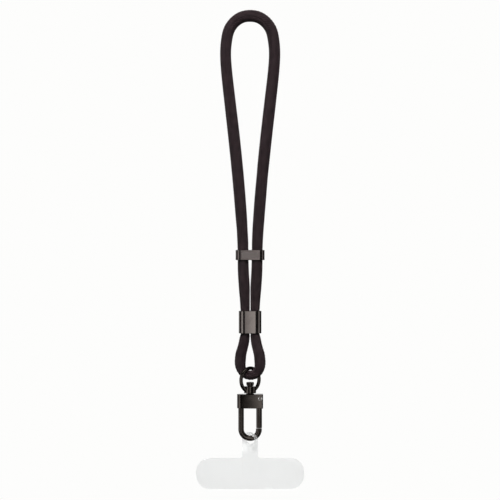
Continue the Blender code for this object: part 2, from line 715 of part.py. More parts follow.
def main():
    for obj in list(bpy.data.objects):
        bpy.data.objects.remove(obj, do_unlink=True)
    curve = smooth_curve(rope_route())
    gunmetal = (0.075, 0.068, 0.064)
    make_rope(curve, new_material("braided rope", (0.022, 0.015, 0.016), 0.75, 0.0))
    make_slider(curve, new_material("slider metal", (0.2, 0.185, 0.18), 0.22, 1.0))
    make_ferrule(new_material("ferrule metal", gunmetal, 0.2, 1.0))
    make_ring(new_material("ring metal", gunmetal, 0.25, 1.0))
    make_post(new_material("post metal", gunmetal, 0.28, 1.0))
    make_hook(new_material("hook metal", gunmetal, 0.25, 1.0))
    make_gate(new_material("gate metal", gunmetal, 0.25, 1.0))
    make_pin(new_material("pin metal", (0.12, 0.11, 0.1), 0.3, 1.0))
    make_tab(new_material("clear plastic", (0.85, 0.85, 0.85), 0.35, 0.0, 0.4))


main()
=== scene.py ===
"""A phone wrist strap, hung by its loop: braided rope, gunmetal fittings and a clear tab."""

import math
from collections import namedtuple

import bmesh
import bpy
import numpy as np
from mathutils import Matrix, Vector


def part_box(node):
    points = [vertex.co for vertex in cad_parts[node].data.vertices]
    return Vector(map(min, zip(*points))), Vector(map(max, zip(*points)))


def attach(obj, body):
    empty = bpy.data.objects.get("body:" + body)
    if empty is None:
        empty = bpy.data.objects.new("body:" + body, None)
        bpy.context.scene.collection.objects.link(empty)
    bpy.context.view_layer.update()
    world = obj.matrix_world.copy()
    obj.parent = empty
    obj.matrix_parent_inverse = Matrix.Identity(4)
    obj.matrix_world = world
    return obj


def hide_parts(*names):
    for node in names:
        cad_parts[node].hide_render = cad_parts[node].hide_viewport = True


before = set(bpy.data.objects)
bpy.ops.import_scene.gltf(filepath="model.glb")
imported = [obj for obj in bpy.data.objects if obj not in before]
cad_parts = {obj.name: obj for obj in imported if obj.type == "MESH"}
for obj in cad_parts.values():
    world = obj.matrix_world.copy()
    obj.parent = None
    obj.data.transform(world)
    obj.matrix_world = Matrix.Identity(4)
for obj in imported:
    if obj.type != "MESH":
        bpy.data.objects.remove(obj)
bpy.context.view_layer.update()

MM = 0.001


# Camera
# The strap hangs square to the lens. A long lens keeps its two sides parallel, and the
# picture's scale was read off the clear tab, which is 60 mm wide.
PICTURE_WIDTH = 277.8 * MM
PICTURE_CENTRE = Vector((-0.06, 0.0, -126.7)) * MM
LENS = 100.0
SENSOR = 36.0

lens = bpy.data.cameras.new("front_view")
lens.lens = LENS
lens.sensor_width = SENSOR
camera = bpy.data.objects.new("front_view", lens)
bpy.context.scene.collection.objects.link(camera)
camera.location = PICTURE_CENTRE + Vector((0.0, -PICTURE_WIDTH * LENS / SENSOR, 0.0))
camera.rotation_euler = (math.pi / 2, 0.0, 0.0)
bpy.context.scene.camera = camera
bpy.context.scene.view_settings.view_transform = "Standard"


# Rope
# One braided polyester rope of 6.5 mm. Its two ends meet inside the ferrule, so it makes the
# long wrist loop above and the short eye below. The braid is a herringbone: four columns of
# plied yarns run along it, slanting one way and the other, over a dark core.
ROPE_RADIUS = 3.25 * MM
WRIST_LOOP_LENGTH = 160.5 * MM
WRIST_LOOP_OPENING = 20.9 * MM
FERRULE_LENGTH = 12.45 * MM
EYE_LENGTH = 20.7 * MM
EYE_OPENING = 4.8 * MM
EYE_SWAY = 2.1 * MM
CRIMPED_GIRTH = 0.765
LEG_HALF_GAP = 0.15 * MM

# The rope's route, the same as the solid's: a point on the inner edge of its loop and the way
# out from there. half_gap: share of the half opening; drop: share of the length; turn: degrees
# of the way out from straight up; girth: share of the free diameter; sway: share of the sway
Station = namedtuple("Station", "half_gap drop turn girth sway")

WRIST_LOOP = (
    Station(0.000, 0.0000, 0.0, 1.040, 0.0),
    Station(0.332, 0.0034, 22.5, 1.030, 0.0),
    Station(0.612, 0.0156, 45.0, 1.020, 0.0),
    Station(0.815, 0.0339, 67.5, 1.015, 0.0),
    Station(0.933, 0.0624, 78.0, 1.000, 0.0),
    Station(1.000, 0.1075, 90.0, 0.975, 0.0),
    Station(0.946, 0.1663, 95.6, 0.990, 0.0),
    Station(0.763, 0.2702, 96.7, 1.015, 0.0),
    Station(0.521, 0.4086, 96.0, 1.015, 0.0),
    Station(0.311, 0.5470, 95.4, 1.010, 0.0),
    Station(0.149, 0.6854, 93.2, 0.985, 0.0),
    Station(0.096, 0.7545, 91.8, 0.950, 0.0),
    Station(0.085, 0.8069, 90.3, 0.930, 0.0),
    Station(0.064, 0.8586, 92.0, 0.955, 0.0),
    Station(0.014, 0.9171, 91.5, 0.950, 0.0),
    Station(0.000, 0.9626, 90.0, 0.852, 0.0),
    Station(0.000, 0.9938, 90.0, 0.800, 0.0),
)

EYE = (
    Station(0.000, 0.075, 90.0, 0.825, 0.12),
    Station(0.130, 0.181, 84.0, 0.880, 0.28),
    Station(0.301, 0.316, 79.0, 0.900, 0.52),
    Station(0.582, 0.452, 76.5, 0.910, 0.76),
    Station(0.837, 0.582, 81.0, 0.950, 0.92),
    Station(0.954, 0.717, 86.0, 0.965, 1.00),
    Station(1.000, 0.800, 90.0, 0.955, 1.00),
    Station(1.000, 0.8845, 90.0, 0.914, 1.00),
    Station(0.929, 0.929, 112.5, 0.846, 0.94),
    Station(0.711, 0.967, 135.0, 0.820, 0.80),
    Station(0.385, 0.991, 157.5, 0.815, 0.46),
    Station(0.000, 1.000, 180.0, 0.8125, 0.0),
)


def station_point(station, opening, length, start_z):
    """Centre of the rope at a station of the right leg, with its radius there."""
    radius = ROPE_RADIUS * station.girth
    half_gap = station.half_gap * opening / 2
    if station.turn not in (0.0, 180.0):
        half_gap = max(half_gap, LEG_HALF_GAP)
    turn = math.radians(station.turn)
    x = half_gap + radius * math.sin(turn)
    z = start_z - station.drop * length + radius * math.cos(turn)
    return np.array((x, -EYE_SWAY * station.sway, z, radius))


def other_leg(points):
    """The same stations on the left leg: half a turn about the strap's axis, in reverse."""
    return [p * (-1.0, -1.0, 1.0, 1.0) for p in reversed(points)]


def rope_route():
    """Points along the rope from its seam in the ferrule, up and round to the seam again."""
    crimped = ROPE_RADIUS * CRIMPED_GIRTH
    mouth_x = crimped + LEG_HALF_GAP
    foot_z = -WRIST_LOOP_LENGTH - FERRULE_LENGTH
    wrist = [station_point(s, WRIST_LOOP_OPENING, WRIST_LOOP_LENGTH, 0.0) for s in WRIST_LOOP]
    eye = [station_point(s, EYE_OPENING, EYE_LENGTH, foot_z) for s in EYE]
    upper = wrist + [np.array((mouth_x, 0.0, -WRIST_LOOP_LENGTH, crimped))]
    lower = [np.array((mouth_x, 0.0, foot_z, crimped))] + eye
    seam = np.array((-mouth_x, 0.0, -WRIST_LOOP_LENGTH - FERRULE_LENGTH / 2, crimped))
    gap = np.array((0.0, 0.0, LEG_HALF_GAP, 0.0))
    return np.array(
        [seam + gap] + other_leg(upper[1:]) + upper + lower + other_leg(lower[:-1]) + [seam - gap]
    )


def smooth_line(points, steps=10):
    """A smooth curve through the points, with its slopes taken from the points beside each."""
    gaps = np.linalg.norm(np.diff(points, axis=0), axis=1)
    knots = np.concatenate(([0.0], np.cumsum(gaps)))
    low = np.maximum(np.arange(len(points)) - 1, 0)
    high = np.minimum(np.arange(len(points)) + 1, len(points) - 1)
    slopes = (points[high] - points[low]) / (knots[high] - knots[low])[:, None]
    line = [points[:1]]
    for i, gap in enumerate(gaps):
        t = (np.arange(steps) + 1.0)[:, None] / steps
        line.append(
            points[i] * (1 - 3 * t**2 + 2 * t**3) + points[i + 1] * (3 * t**2 - 2 * t**3)
            + slopes[i] * gap * (t - 2 * t**2 + t**3) + slopes[i + 1] * gap * (t**3 - t**2)
        )
    return np.concatenate(line)


ROUTE = smooth_line(rope_route())
ROUTE_LENGTHS = np.concatenate(
    ([0.0], np.cumsum(np.linalg.norm(np.diff(ROUTE[:, :3], axis=0), axis=1)))
)
ROPE_LENGTH = ROUTE_LENGTHS[-1]

# Braid: yarns each way round the rope, their slant from its axis, and the yarn's own size
YARNS_EACH_WAY = 12
YARN_SLANT = math.radians(48.0)
YARN_WIDTH = 1.20 * MM
YARN_THICKNESS = 0.76 * MM
YARN_DIVE = 0.45 * MM
YARN_DIVE_SHARE = 0.20
YARN_TIP_SHARE = 0.10
YARN_TIP_REACH = 1.08
PLY_BUMPS = 6
PLY_DEPTH = 0.13
CORE_INSET = 0.55 * MM
BRAID_PIECES = 4

COLUMN_WIDTH = ROPE_RADIUS * math.pi / 2
YARN_STEP = 2 * math.pi * ROPE_RADIUS / YARNS_EACH_WAY / math.tan(YARN_SLANT)
FLOAT_RISE = COLUMN_WIDTH / math.tan(YARN_SLANT)

# Where a column's edge lies round the rope, in degrees from the front towards the loop's
# outside, by the share of the rope's length: it wanders as the rope twists in use
BraidTwist = namedtuple("BraidTwist", "along edge")

BRAID_TWISTS = (
    BraidTwist(0.00, 45.0), BraidTwist(0.09, 45.0), BraidTwist(0.15, -40.0),
    BraidTwist(0.21, -50.0), BraidTwist(0.28, -85.0), BraidTwist(0.38, -95.0),
    BraidTwist(0.50, -125.0), BraidTwist(0.60, -135.0), BraidTwist(0.65, -90.0),
    BraidTwist(0.71, -45.0), BraidTwist(0.86, -45.0), BraidTwist(0.93, -20.0),
    BraidTwist(1.00, -45.0),
)


def linear(code):
    """An sRGB hex colour as linear red, green, blue and alpha."""
    parts = [int(code[i:i + 2], 16) / 255 for i in (0, 2, 4)]
    return [p / 12.92 if p <= 0.04045 else ((p + 0.055) / 1.055) ** 2.4 for p in parts] + [1.0]


def add_node(tree, kind, sockets=None, links=None, **settings):
    """Add a node with its settings, its sockets' values and what is linked into it."""
    node = tree.nodes.new(kind)
    for name, value in settings.items():
        setattr(node, name, value)
    for name, value in (sockets or {}).items():
        node.inputs[name].default_value = value
    for name, source in (links or {}).items():
        tree.links.new(source, node.inputs[name])
    return node


def new_material(name, **sockets):
    """A material with a Principled shader whose sockets are named with spaces as underscores."""
    material = bpy.data.materials.new(name)
    material.use_nodes = True
    shader = material.node_tree.nodes["Principled BSDF"]
    for socket, value in sockets.items():
        shader.inputs[socket.replace("_", " ")].default_value = value
    return material, material.node_tree, shader


def new_piece(name, data, material):
    """Link a finished mesh or curve to the scene with its material."""
    piece = bpy.data.objects.new(name, data)
    bpy.context.scene.collection.objects.link(piece)
    data.materials.clear()
    data.materials.append(material)
    return piece


def rope_frame(along):
    """Centre, radius, way to the front and way to the outside at lengths along the rope."""
    reach = 0.5 * MM
    centre = np.stack([np.interp(along, ROUTE_LENGTHS, ROUTE[:, k]) for k in range(3)], axis=1)
    radius = np.interp(along, ROUTE_LENGTHS, ROUTE[:, 3])
    before = np.clip(along - reach, 0.0, ROPE_LENGTH)
    after = np.clip(along + reach, 0.0, ROPE_LENGTH)
    ahead = np.stack([
        np.interp(after, ROUTE_LENGTHS, ROUTE[:, k]) - np.interp(before, ROUTE_LENGTHS, ROUTE[:, k])
        for k in range(3)
    ], axis=1)
    ahead /= np.linalg.norm(ahead, axis=1)[:, None]
    front = np.array((0.0, -1.0, 0.0)) + ahead * ahead[:, 1:2]
    front /= np.linalg.norm(front, axis=1)[:, None]
    return centre, radius, front, np.cross(front, ahead)


def yarn_float():
    """One plied yarn where it shows: a long drop whose two tips dive under its neighbours."""
    mesh = bmesh.new()
    bmesh.ops.create_uvsphere(mesh, u_segments=8, v_segments=32, radius=1.0)
    length = FLOAT_RISE / math.cos(YARN_SLANT) * YARN_TIP_REACH
    for vert in mesh.verts:
        share = math.acos(max(-1.0, min(1.0, vert.co.z))) / math.pi
        round_turn = math.atan2(vert.co.y, vert.co.x)
        end = min(share, 1.0 - share)
        tip = min(end / YARN_TIP_SHARE, 1.0)
        girth = math.sqrt(1.0 - (1.0 - tip) ** 2)
        girth *= 1.0 + PLY_DEPTH * math.cos(2 * round_turn + math.tau * PLY_BUMPS * share)
        dive = 1.0 - min(end / YARN_DIVE_SHARE, 1.0)
        vert.co = (
            girth * YARN_WIDTH / 2 * math.cos(round_turn),
            (share - 0.5) * length,
            girth * YARN_THICKNESS / 2 * math.sin(round_turn)
            - YARN_THICKNESS / 2 - YARN_DIVE * dive * dive,
        )
    bmesh.ops.recalc_face_normals(mesh, faces=mesh.faces)
    return mesh


def braid_unit():
    """The four floats that repeat along the rope, laid out flat: x round it, y along it."""
    mesh = yarn_float()
    first = mesh.verts[:] + mesh.edges[:] + mesh.faces[:]
    places = []
    for side, slant, half_step in ((-1, -YARN_SLANT, 0.0), (1, YARN_SLANT, YARN_STEP / 2)):
        for turn in (0.0, 2 * COLUMN_WIDTH):
            shift = (side * COLUMN_WIDTH / 2 + turn, half_step, 0.0)
            places.append(Matrix.Translation(shift) @ Matrix.Rotation(slant, 4, "Z"))
    for place in places[1:]:
        copy = bmesh.ops.duplicate(mesh, geom=first)["geom"]
        verts = [item for item in copy if isinstance(item, bmesh.types.BMVert)]
        bmesh.ops.transform(mesh, matrix=place, verts=verts)
    verts = [item for item in first if isinstance(item, bmesh.types.BMVert)]
    bmesh.ops.transform(mesh, matrix=places[0], verts=verts)
    data = bpy.data.meshes.new("braid_unit")
    mesh.to_mesh(data)
    mesh.free()
    return data


def braid_length(name, start, end, material):
    """A length of braid: the unit repeated by an array, then wrapped and bent to the route."""
    unit = bpy.data.objects.new(name, braid_unit())
    bpy.context.scene.collection.objects.link(unit)
    rows = unit.modifiers.new("rows", "ARRAY")
    rows.count = max(1, round((end - start) / YARN_STEP))
    rows.use_relative_offset = False
    rows.use_constant_offset = True
    rows.constant_offset_displace = (0.0, YARN_STEP, 0.0)
    shaped = unit.evaluated_get(bpy.context.evaluated_depsgraph_get())
    data = bpy.data.meshes.new_from_object(shaped)
    bpy.data.objects.remove(unit)
    flat = np.zeros(len(data.vertices) * 3, np.float32)
    data.vertices.foreach_get("co", flat)
    flat = flat.reshape(-1, 3).astype(float)
    along = np.clip(start + flat[:, 1], 0.0, ROPE_LENGTH)
    centre, radius, front, outside = rope_frame(along)
    edge = np.interp(
        along / ROPE_LENGTH, [t.along for t in BRAID_TWISTS], [t.edge for t in BRAID_TWISTS]
    )
    turn = (flat[:, 0] / ROPE_RADIUS + np.radians(edge))[:, None]
    reach = (radius + flat[:, 2])[:, None]
    bent = centre + reach * (np.cos(turn) * front + np.sin(turn) * outside)
    data.vertices.foreach_set("co", bent.astype(np.float32).ravel())
    data.shade_smooth()
    return new_piece(name, data, material)


# Polyester yarn, spun and dyed: near black with a plum cast, matt with a faint sheen where the
# filaments catch the light. Filaments are finer than the picture shows, so they are drawn
# ten times as coarse.
yarn, tree, shader = new_material(
    "polyester yarn, dyed", Roughness=0.62, Sheen_Weight=0.35, Sheen_Roughness=0.4
)
shader.inputs["Sheen Tint"].default_value = linear("B9A3AC")
place = add_node(tree, "ShaderNodeTexCoord").outputs["Object"]
patches = add_node(
    tree, "ShaderNodeTexNoise", {"Scale": 1 / (3.0 * MM), "Detail": 3.0}, {"Vector": place}
)
colours = add_node(tree, "ShaderNodeValToRGB", links={"Fac": patches.outputs["Fac"]})
colours.color_ramp.elements[0].position = 0.35
colours.color_ramp.elements[0].color = linear("2B2023")
colours.color_ramp.elements[1].position = 0.68
colours.color_ramp.elements[1].color = linear("3D3033")
tree.links.new(colours.outputs["Color"], shader.inputs["Base Color"])
fibres = add_node(
    tree, "ShaderNodeTexNoise", {"Scale": 1 / (0.2 * MM), "Detail": 2.0}, {"Vector": place}
)
bump = add_node(
    tree, "ShaderNodeBump", {"Strength": 0.5, "Distance": 0.08 * MM},
    {"Height": fibres.outputs["Fac"]},
)
tree.links.new(bump.outputs["Normal"], shader.inputs["Normal"])

# Core: what shows between the yarns is in deep shade.
core_yarn, tree, shader = new_material(
    "polyester core, in shade", Base_Color=linear("0E090A"), Roughness=0.9
)

core_curve = bpy.data.curves.new("rope_core", "CURVE")
core_curve.dimensions = "3D"
core_curve.bevel_depth = ROPE_RADIUS
core_curve.bevel_resolution = 6
core_curve.use_fill_caps = True
spline = core_curve.splines.new("POLY")
core_points = ROUTE[::3]
spline.points.add(len(core_points) - 1)
for point, (x, y, z, radius) in zip(spline.points, core_points):
    point.co = (x, y, z, 1.0)
    point.radius = (radius - CORE_INSET) / ROPE_RADIUS
rope_core = new_piece("rope_core", core_curve, core_yarn)

PIECE_ROWS = math.floor(ROPE_LENGTH / YARN_STEP / BRAID_PIECES)
braids = []
for i in range(BRAID_PIECES):
    start = i * PIECE_ROWS * YARN_STEP
    end = start + PIECE_ROWS * YARN_STEP
    braids.append(braid_length(f"rope_braid_{i + 1}", start, end, yarn))
for piece in [rope_core] + braids:
    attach(piece, "strap")
    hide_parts("strap_rope")


# Slider band
# A cast zinc band round both legs, polished and plated in gunmetal. It slides along the rope
# to draw the loop in. Its front has a plain satin panel, sunk a little.
SLIDER_DROP = 129.5 * MM
SLIDER_WALL = 0.7 * MM
SLIDER_CORNER = 2.9 * MM
PANEL_WIDTH = 9.2 * MM
PANEL_HEIGHT = 3.4 * MM
PANEL_CORNER = 0.85 * MM
PANEL_DEPTH = 0.15 * MM
RIM_EDGE = 0.2 * MM
SMOOTH_ANGLE = math.radians(35.0)


def arc(centre_x, centre_y, radius, start, end, steps):
    """Points on an arc, its angles in degrees from +X."""
    angles = [math.radians(start + (end - start) * i / steps) for i in range(steps + 1)]
    return [(centre_x + radius * math.cos(a), centre_y + radius * math.sin(a)) for a in angles]


def rounded_plan(half_width, half_depth, radius, steps=16):
    """Outline of a rounded rectangle, the same number of points for any size."""
    x = half_width - radius
    y = half_depth - radius
    outline = arc(x, y, radius, 0, 90, steps) + arc(-x, y, radius, 90, 180, steps)
    return outline + arc(-x, -y, radius, 180, 270, steps) + arc(x, -y, radius, 270, 360, steps)


def join_rows(mesh, first, second):
    """Faces between two closed rows of vertices."""
    for i in range(len(first)):
        j = (i + 1) % len(first)
        mesh.faces.new((first[i], first[j], second[j], second[i]))


def finish_mesh(name, mesh, material):
    """Close a bmesh's seams and make it a smooth piece with sharp corners kept."""
    bmesh.ops.remove_doubles(mesh, verts=mesh.verts, dist=0.001 * MM)
    bmesh.ops.recalc_face_normals(mesh, faces=mesh.faces)
    data = bpy.data.meshes.new(name)
    mesh.to_mesh(data)
    mesh.free()
    data.shade_smooth()
    data.set_sharp_from_angle(angle=SMOOTH_ANGLE)
    return new_piece(name, data, material)


def sleeve(name, half_width, half_depth, corner, wall, low, high, material):
    """An oval tube with rounded rims: rows of one outline, set in by the wall's own section."""
    section = rounded_plan(wall / 2, (high - low) / 2, RIM_EDGE, 4)
    mesh = bmesh.new()
    rows = []
    for across, up in section:
        inset = wall / 2 - across
        plan = rounded_plan(half_width - inset, half_depth - inset, corner - inset)
        rows.append([mesh.verts.new((x, y, (low + high) / 2 + up)) for x, y in plan])
    for i in range(len(rows)):
        join_rows(mesh, rows[i], rows[(i + 1) % len(rows)])
    return finish_mesh(name, mesh, material)


def slab(name, outline, low, high, material):
    """A flat outline of (x, z) points, extruded along Y."""
    mesh = bmesh.new()
    front = [mesh.verts.new((x, low, z)) for x, z in outline]
    back = [mesh.verts.new((x, high, z)) for x, z in outline]
    join_rows(mesh, front, back)
    mesh.faces.new(front)
    mesh.faces.new(back)
    return finish_mesh(name, mesh, material)


def combine(piece, helpers):
    """Join helper solids to a piece or cut it with them, then drop them."""
    for helper, operation in helpers:
        modifier = piece.modifiers.new(helper.name, "BOOLEAN")
        modifier.operation = operation
        modifier.solver = "EXACT"
        modifier.object = helper
        modifier.material_mode = "TRANSFER"
    shaped = piece.evaluated_get(bpy.context.evaluated_depsgraph_get())
    data = bpy.data.meshes.new_from_object(shaped)
    piece.modifiers.clear()
    piece.data = data
    for helper, operation in helpers:
        bpy.data.objects.remove(helper)
    data.shade_smooth()
    data.set_sharp_from_angle(angle=SMOOTH_ANGLE)


def fit(piece, body, node):
    """A finished piece rides on its body in place of the plain solid."""
    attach(piece, body)
    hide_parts(node)


def gunmetal(name, light, dark, roughness):
    """Polished gunmetal plate between two shades, with faint clouds from the polishing."""
    material, tree, shader = new_material(name, Metallic=1.0)
    place = add_node(tree, "ShaderNodeTexCoord").outputs["Object"]
    clouds = add_node(
        tree, "ShaderNodeTexNoise", {"Scale": 1 / (4.0 * MM), "Detail": 4.0}, {"Vector": place}
    )
    shades = add_node(tree, "ShaderNodeValToRGB", links={"Fac": clouds.outputs["Fac"]})
    shades.color_ramp.elements[0].position = 0.3
    shades.color_ramp.elements[0].color = linear(dark)
    shades.color_ramp.elements[1].position = 0.7
    shades.color_ramp.elements[1].color = linear(light)
    tree.links.new(shades.outputs["Color"], shader.inputs["Base Color"])
    rough = add_node(
        tree, "ShaderNodeMapRange", {"To Min": roughness - 0.04, "To Max": roughness + 0.05},
        {"Value": clouds.outputs["Fac"]},
    )
    tree.links.new(rough.outputs["Result"], shader.inputs["Roughness"])
    grit = add_node(
        tree, "ShaderNodeTexNoise", {"Scale": 1 / (0.35 * MM), "Detail": 2.0}, {"Vector": place}
    )
    bump = add_node(
        tree, "ShaderNodeBump", {"Strength": 0.1, "Distance": 0.01 * MM},
        {"Height": grit.outputs["Fac"]},
    )
    tree.links.new(bump.outputs["Normal"], shader.inputs["Normal"])
    return material


# Zinc plated in gunmetal, polished bright: the slider is the lightest of the fittings.
slider_plate = gunmetal("zinc, polished gunmetal plate, slider", "7B7270", "6F6664", 0.16)
# The panel's floor is blasted to a satin before plating; its paler colour is painted highlight, for
# the glints of the engraved lettering it replaces.
panel_satin_and_painted_highlight = gunmetal("zinc, satin gunmetal plate, panel", "9A918E", "8C8380", 0.34)

slider_lo, slider_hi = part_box("slider_band")
slider_half = (slider_hi - slider_lo) / 2
slider_band = sleeve(
    "slider_band_polished", slider_half.x, slider_half.y, SLIDER_CORNER, SLIDER_WALL,
    slider_lo.z, slider_hi.z, slider_plate,
)
panel_outline = [
    (x, z - SLIDER_DROP) for x, z in rounded_plan(PANEL_WIDTH / 2, PANEL_HEIGHT / 2, PANEL_CORNER, 8)
]
panel_cut = slab(
    "panel_cut", panel_outline, slider_lo.y - SLIDER_WALL, slider_lo.y + PANEL_DEPTH, panel_satin_and_painted_highlight
)
combine(slider_band, [(panel_cut, "DIFFERENCE")])
fit(slider_band, "strap", "slider_band")


# Ferrule
# A zinc sleeve crimped round both legs and round the hidden seam of the rope. It is polished
# and plated like the slider, with rounded rims.
FERRULE_WALL = 0.85 * MM

# Zinc plated in gunmetal, polished: a little browner than the slider.
ferrule_plate = gunmetal("zinc, polished gunmetal plate, ferrule", "8B837F", "7F7773", 0.14)

ferrule_lo, ferrule_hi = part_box("ferrule")
ferrule_half = (ferrule_hi - ferrule_lo) / 2
ferrule = sleeve(
    "ferrule_polished", ferrule_half.x, ferrule_half.y, ferrule_half.y - 0.01 * MM, FERRULE_WALL,
    ferrule_lo.z, ferrule_hi.z, ferrule_plate,
)
fit(ferrule, "strap", "ferrule")


# Swivel ring
# Steel wire of 2 mm bent to a ring, which the rope's eye hangs in. Its ends are brazed into a
# bored barrel that the post turns in, so ring and barrel are one piece.
WIRE_RADIUS = 1.0 * MM
RING_RADIUS = 6.466 * MM
RING_CENTRE_Z = -198.816 * MM
RING_TURN = math.radians(39.5)
BARREL_RADIUS = 3.35 * MM
BARREL_BORE = 1.6 * MM
BARREL_TOP = -202.381 * MM
BARREL_BOTTOM = -206.131 * MM
BARREL_EDGE = 0.25 * MM


def turned(name, profile, material, steps=96, axis="Z", centre=(0.0, 0.0, 0.0)):
    """A solid turned from a profile of (radius, height) points, along Z or along Y."""
    mesh = bmesh.new()
    verts = [mesh.verts.new((radius, 0.0, height)) for radius, height in profile]
    edges = [mesh.edges.new(pair) for pair in zip(verts, verts[1:])]
    bmesh.ops.spin(
        mesh, geom=verts + edges, cent=(0, 0, 0), axis=(0, 0, 1),
        angle=math.tau, steps=steps, use_merge=True,
    )
    if axis == "Y":
        bmesh.ops.rotate(
            mesh, verts=mesh.verts, cent=(0, 0, 0), matrix=Matrix.Rotation(math.pi / 2, 3, "X")
        )
    bmesh.ops.translate(mesh, verts=mesh.verts, vec=centre)
    return finish_mesh(name, mesh, material)


def disc(radius, low, high, edge):
    """Profile of a disc with rounded edges."""
    lower = arc(radius - edge, low + edge, edge, -90, 0, 4)
    return [(0.0, low)] + lower + arc(radius - edge, high - edge, edge, 0, 90, 4) + [(0.0, high)]


def bore(radius, low, high):
    """Profile of a plain cylinder, for a bore."""
    return [(0.0, low), (radius, low), (radius, high), (0.0, high)]


def round_bar(name, path, radii, material, sides=28, closed=False, turn=0.0):
    """Round wire along a flat path of (along, height) points, turned about Z."""
    mesh = bmesh.new()
    along = Vector((math.cos(turn), math.sin(turn), 0.0))
    depth = Vector((-math.sin(turn), math.cos(turn), 0.0))
    count = len(path)
    rows = []
    for i in range(count):
        before = path[i - 1] if closed or i > 0 else path[i]
        after = path[(i + 1) % count] if closed or i < count - 1 else path[i]
        tangent = Vector((after[0] - before[0], after[1] - before[1])).normalized()
        side = along * -tangent.y + Vector((0.0, 0.0, tangent.x))
        centre = along * path[i][0] + Vector((0.0, 0.0, path[i][1]))
        row = []
        for k in range(sides):
            angle = math.tau * (k + 0.5) / sides
            offset = side * math.cos(angle) + depth * math.sin(angle)
            row.append(mesh.verts.new(centre + offset * radii[i]))
        rows.append(row)
    for i in range(count if closed else count - 1):
        join_rows(mesh, rows[i], rows[(i + 1) % count])
    if not closed:
        mesh.faces.new(rows[0])
        mesh.faces.new(rows[-1])
    return finish_mesh(name, mesh, material)


# Zinc and steel plated in dark gunmetal, polished: ring, post, hook and gate match.
hook_plate = gunmetal("zinc, polished dark gunmetal plate", "635C57", "544E4A", 0.17)

ring_path = arc(0.0, RING_CENTRE_Z, RING_RADIUS, -90, 270, 120)[:-1]
ring = round_bar(
    "swivel_ring_polished", ring_path, [WIRE_RADIUS] * len(ring_path), hook_plate,
    closed=True, turn=RING_TURN,
)
barrel = turned("barrel", disc(BARREL_RADIUS, BARREL_BOTTOM, BARREL_TOP, BARREL_EDGE), hook_plate)
barrel_bore = turned(
    "barrel_bore", bore(BARREL_BORE, BARREL_BOTTOM - MM, BARREL_TOP + MM), hook_plate
)
combine(ring, [(barrel, "UNION"), (barrel_bore, "DIFFERENCE")])
fit(ring, "strap", "swivel_ring")


# Post
# A turned steel post, riveted over at its head inside the ring and set in the hook's block.
# The hook turns with it under the barrel.
POST_STEM = 1.3 * MM
POST_NECK = 1.9 * MM
POST_HEAD = 2.15 * MM
POST_HEAD_TOP = -200.031 * MM
POST_HEAD_HEIGHT = 1.55 * MM
POST_NECK_HEIGHT = 0.5 * MM
POST_FOOT = -210.151 * MM

head_foot = POST_HEAD_TOP - POST_HEAD_HEIGHT
neck_foot = head_foot - POST_NECK_HEIGHT
head_round = 0.55 * MM
head_edge = 0.25 * MM
neck_edge = 0.05 * MM
neck_dip = 0.15 * MM
dimple_depth = 0.16 * MM
dimple_edge = 0.12 * MM
post = turned("swivel_post_polished", [
    (0.0, POST_FOOT), (POST_STEM, POST_FOOT), (POST_STEM, neck_foot), (POST_NECK, neck_foot),
    *arc(POST_NECK - neck_edge, head_foot - neck_dip, neck_edge, 0, 90, 3),
    *arc(POST_HEAD - head_edge, head_foot + head_edge, head_edge, -90, 0, 4),
    *arc(POST_HEAD - head_round, POST_HEAD_TOP - head_round, head_round, 0, 90, 8),
    (POST_HEAD * 0.45, POST_HEAD_TOP), (POST_HEAD * 0.35, POST_HEAD_TOP - dimple_edge),
    (0.0, POST_HEAD_TOP - dimple_depth),
], hook_plate)
fit(post, "clasp", "swivel_post")


# Hook
# One zinc casting: a block, round at its left end and faintly crowned in front, and a wire
# hook below it. The block is bored for the post and slotted for the gate, and drilled for its
# pin.
BLOCK_TOP = -206.751 * MM
BLOCK_BOTTOM = -214.551 * MM
BLOCK_HALF_WIDTH = 7.2 * MM
BLOCK_HALF_DEPTH = 2.8 * MM
BLOCK_CORNER = 0.6 * MM
BLOCK_NOSE_WIDTH = 3.3 * MM
BLOCK_NOSE_DEPTH = 2.2 * MM
BLOCK_NOSE_START = math.radians(9.7)
COLLAR_RADIUS = 2.25 * MM
COLLAR_HEIGHT = 0.32 * MM
COLLAR_BEVEL = 0.16 * MM
HOOK_WIRE_RADIUS = 1.55 * MM
HOOK_WIRE_SEAT = 1.95 * MM
HOOK_BEND_RADIUS = 5.0 * MM
HOOK_BEND_Z = -226.251 * MM
HOOK_NOSE_LENGTH = 0.4 * MM
HOOK_NOSE_SWELL = 0.12 * MM
GATE_X = 5.0 * MM
GATE_RADIUS = 1.6 * MM
GATE_TURN = math.radians(20.0)
PIN_X = 5.6 * MM
PIN_Z = -209.051 * MM
PIN_RADIUS = 0.8 * MM
PIN_HOLE = 1.1 * MM
GATE_EYE = 1.5 * MM
CLEARANCE = 0.3 * MM


def block_plan(inset):
    """Outline of the block from above: square corners right, crowned faces, a round nose."""
    nose_x = BLOCK_NOSE_WIDTH - BLOCK_HALF_WIDTH
    corner = BLOCK_CORNER - inset
    right = BLOCK_HALF_WIDTH - inset - corner
    half_depth = BLOCK_HALF_DEPTH - inset
    back = arc(right, half_depth - corner, corner, 0, 90, 6)
    turns = [BLOCK_NOSE_START + (math.pi / 2 - BLOCK_NOSE_START) * i / 20 for i in range(21)]
    nose = [
        (nose_x - (BLOCK_NOSE_WIDTH - inset) * math.sin(t), (BLOCK_NOSE_DEPTH - inset) * math.cos(t))
        for t in turns
    ]
    crown_steps = 12
    for i in range(1, crown_steps):
        share = i / crown_steps
        x = right + (nose[0][0] - right) * share
        back.append((x, half_depth + (nose[0][1] - half_depth) * share**2))
    back += nose
    return back + [(x, -y) for x, y in reversed(back[:-1])]


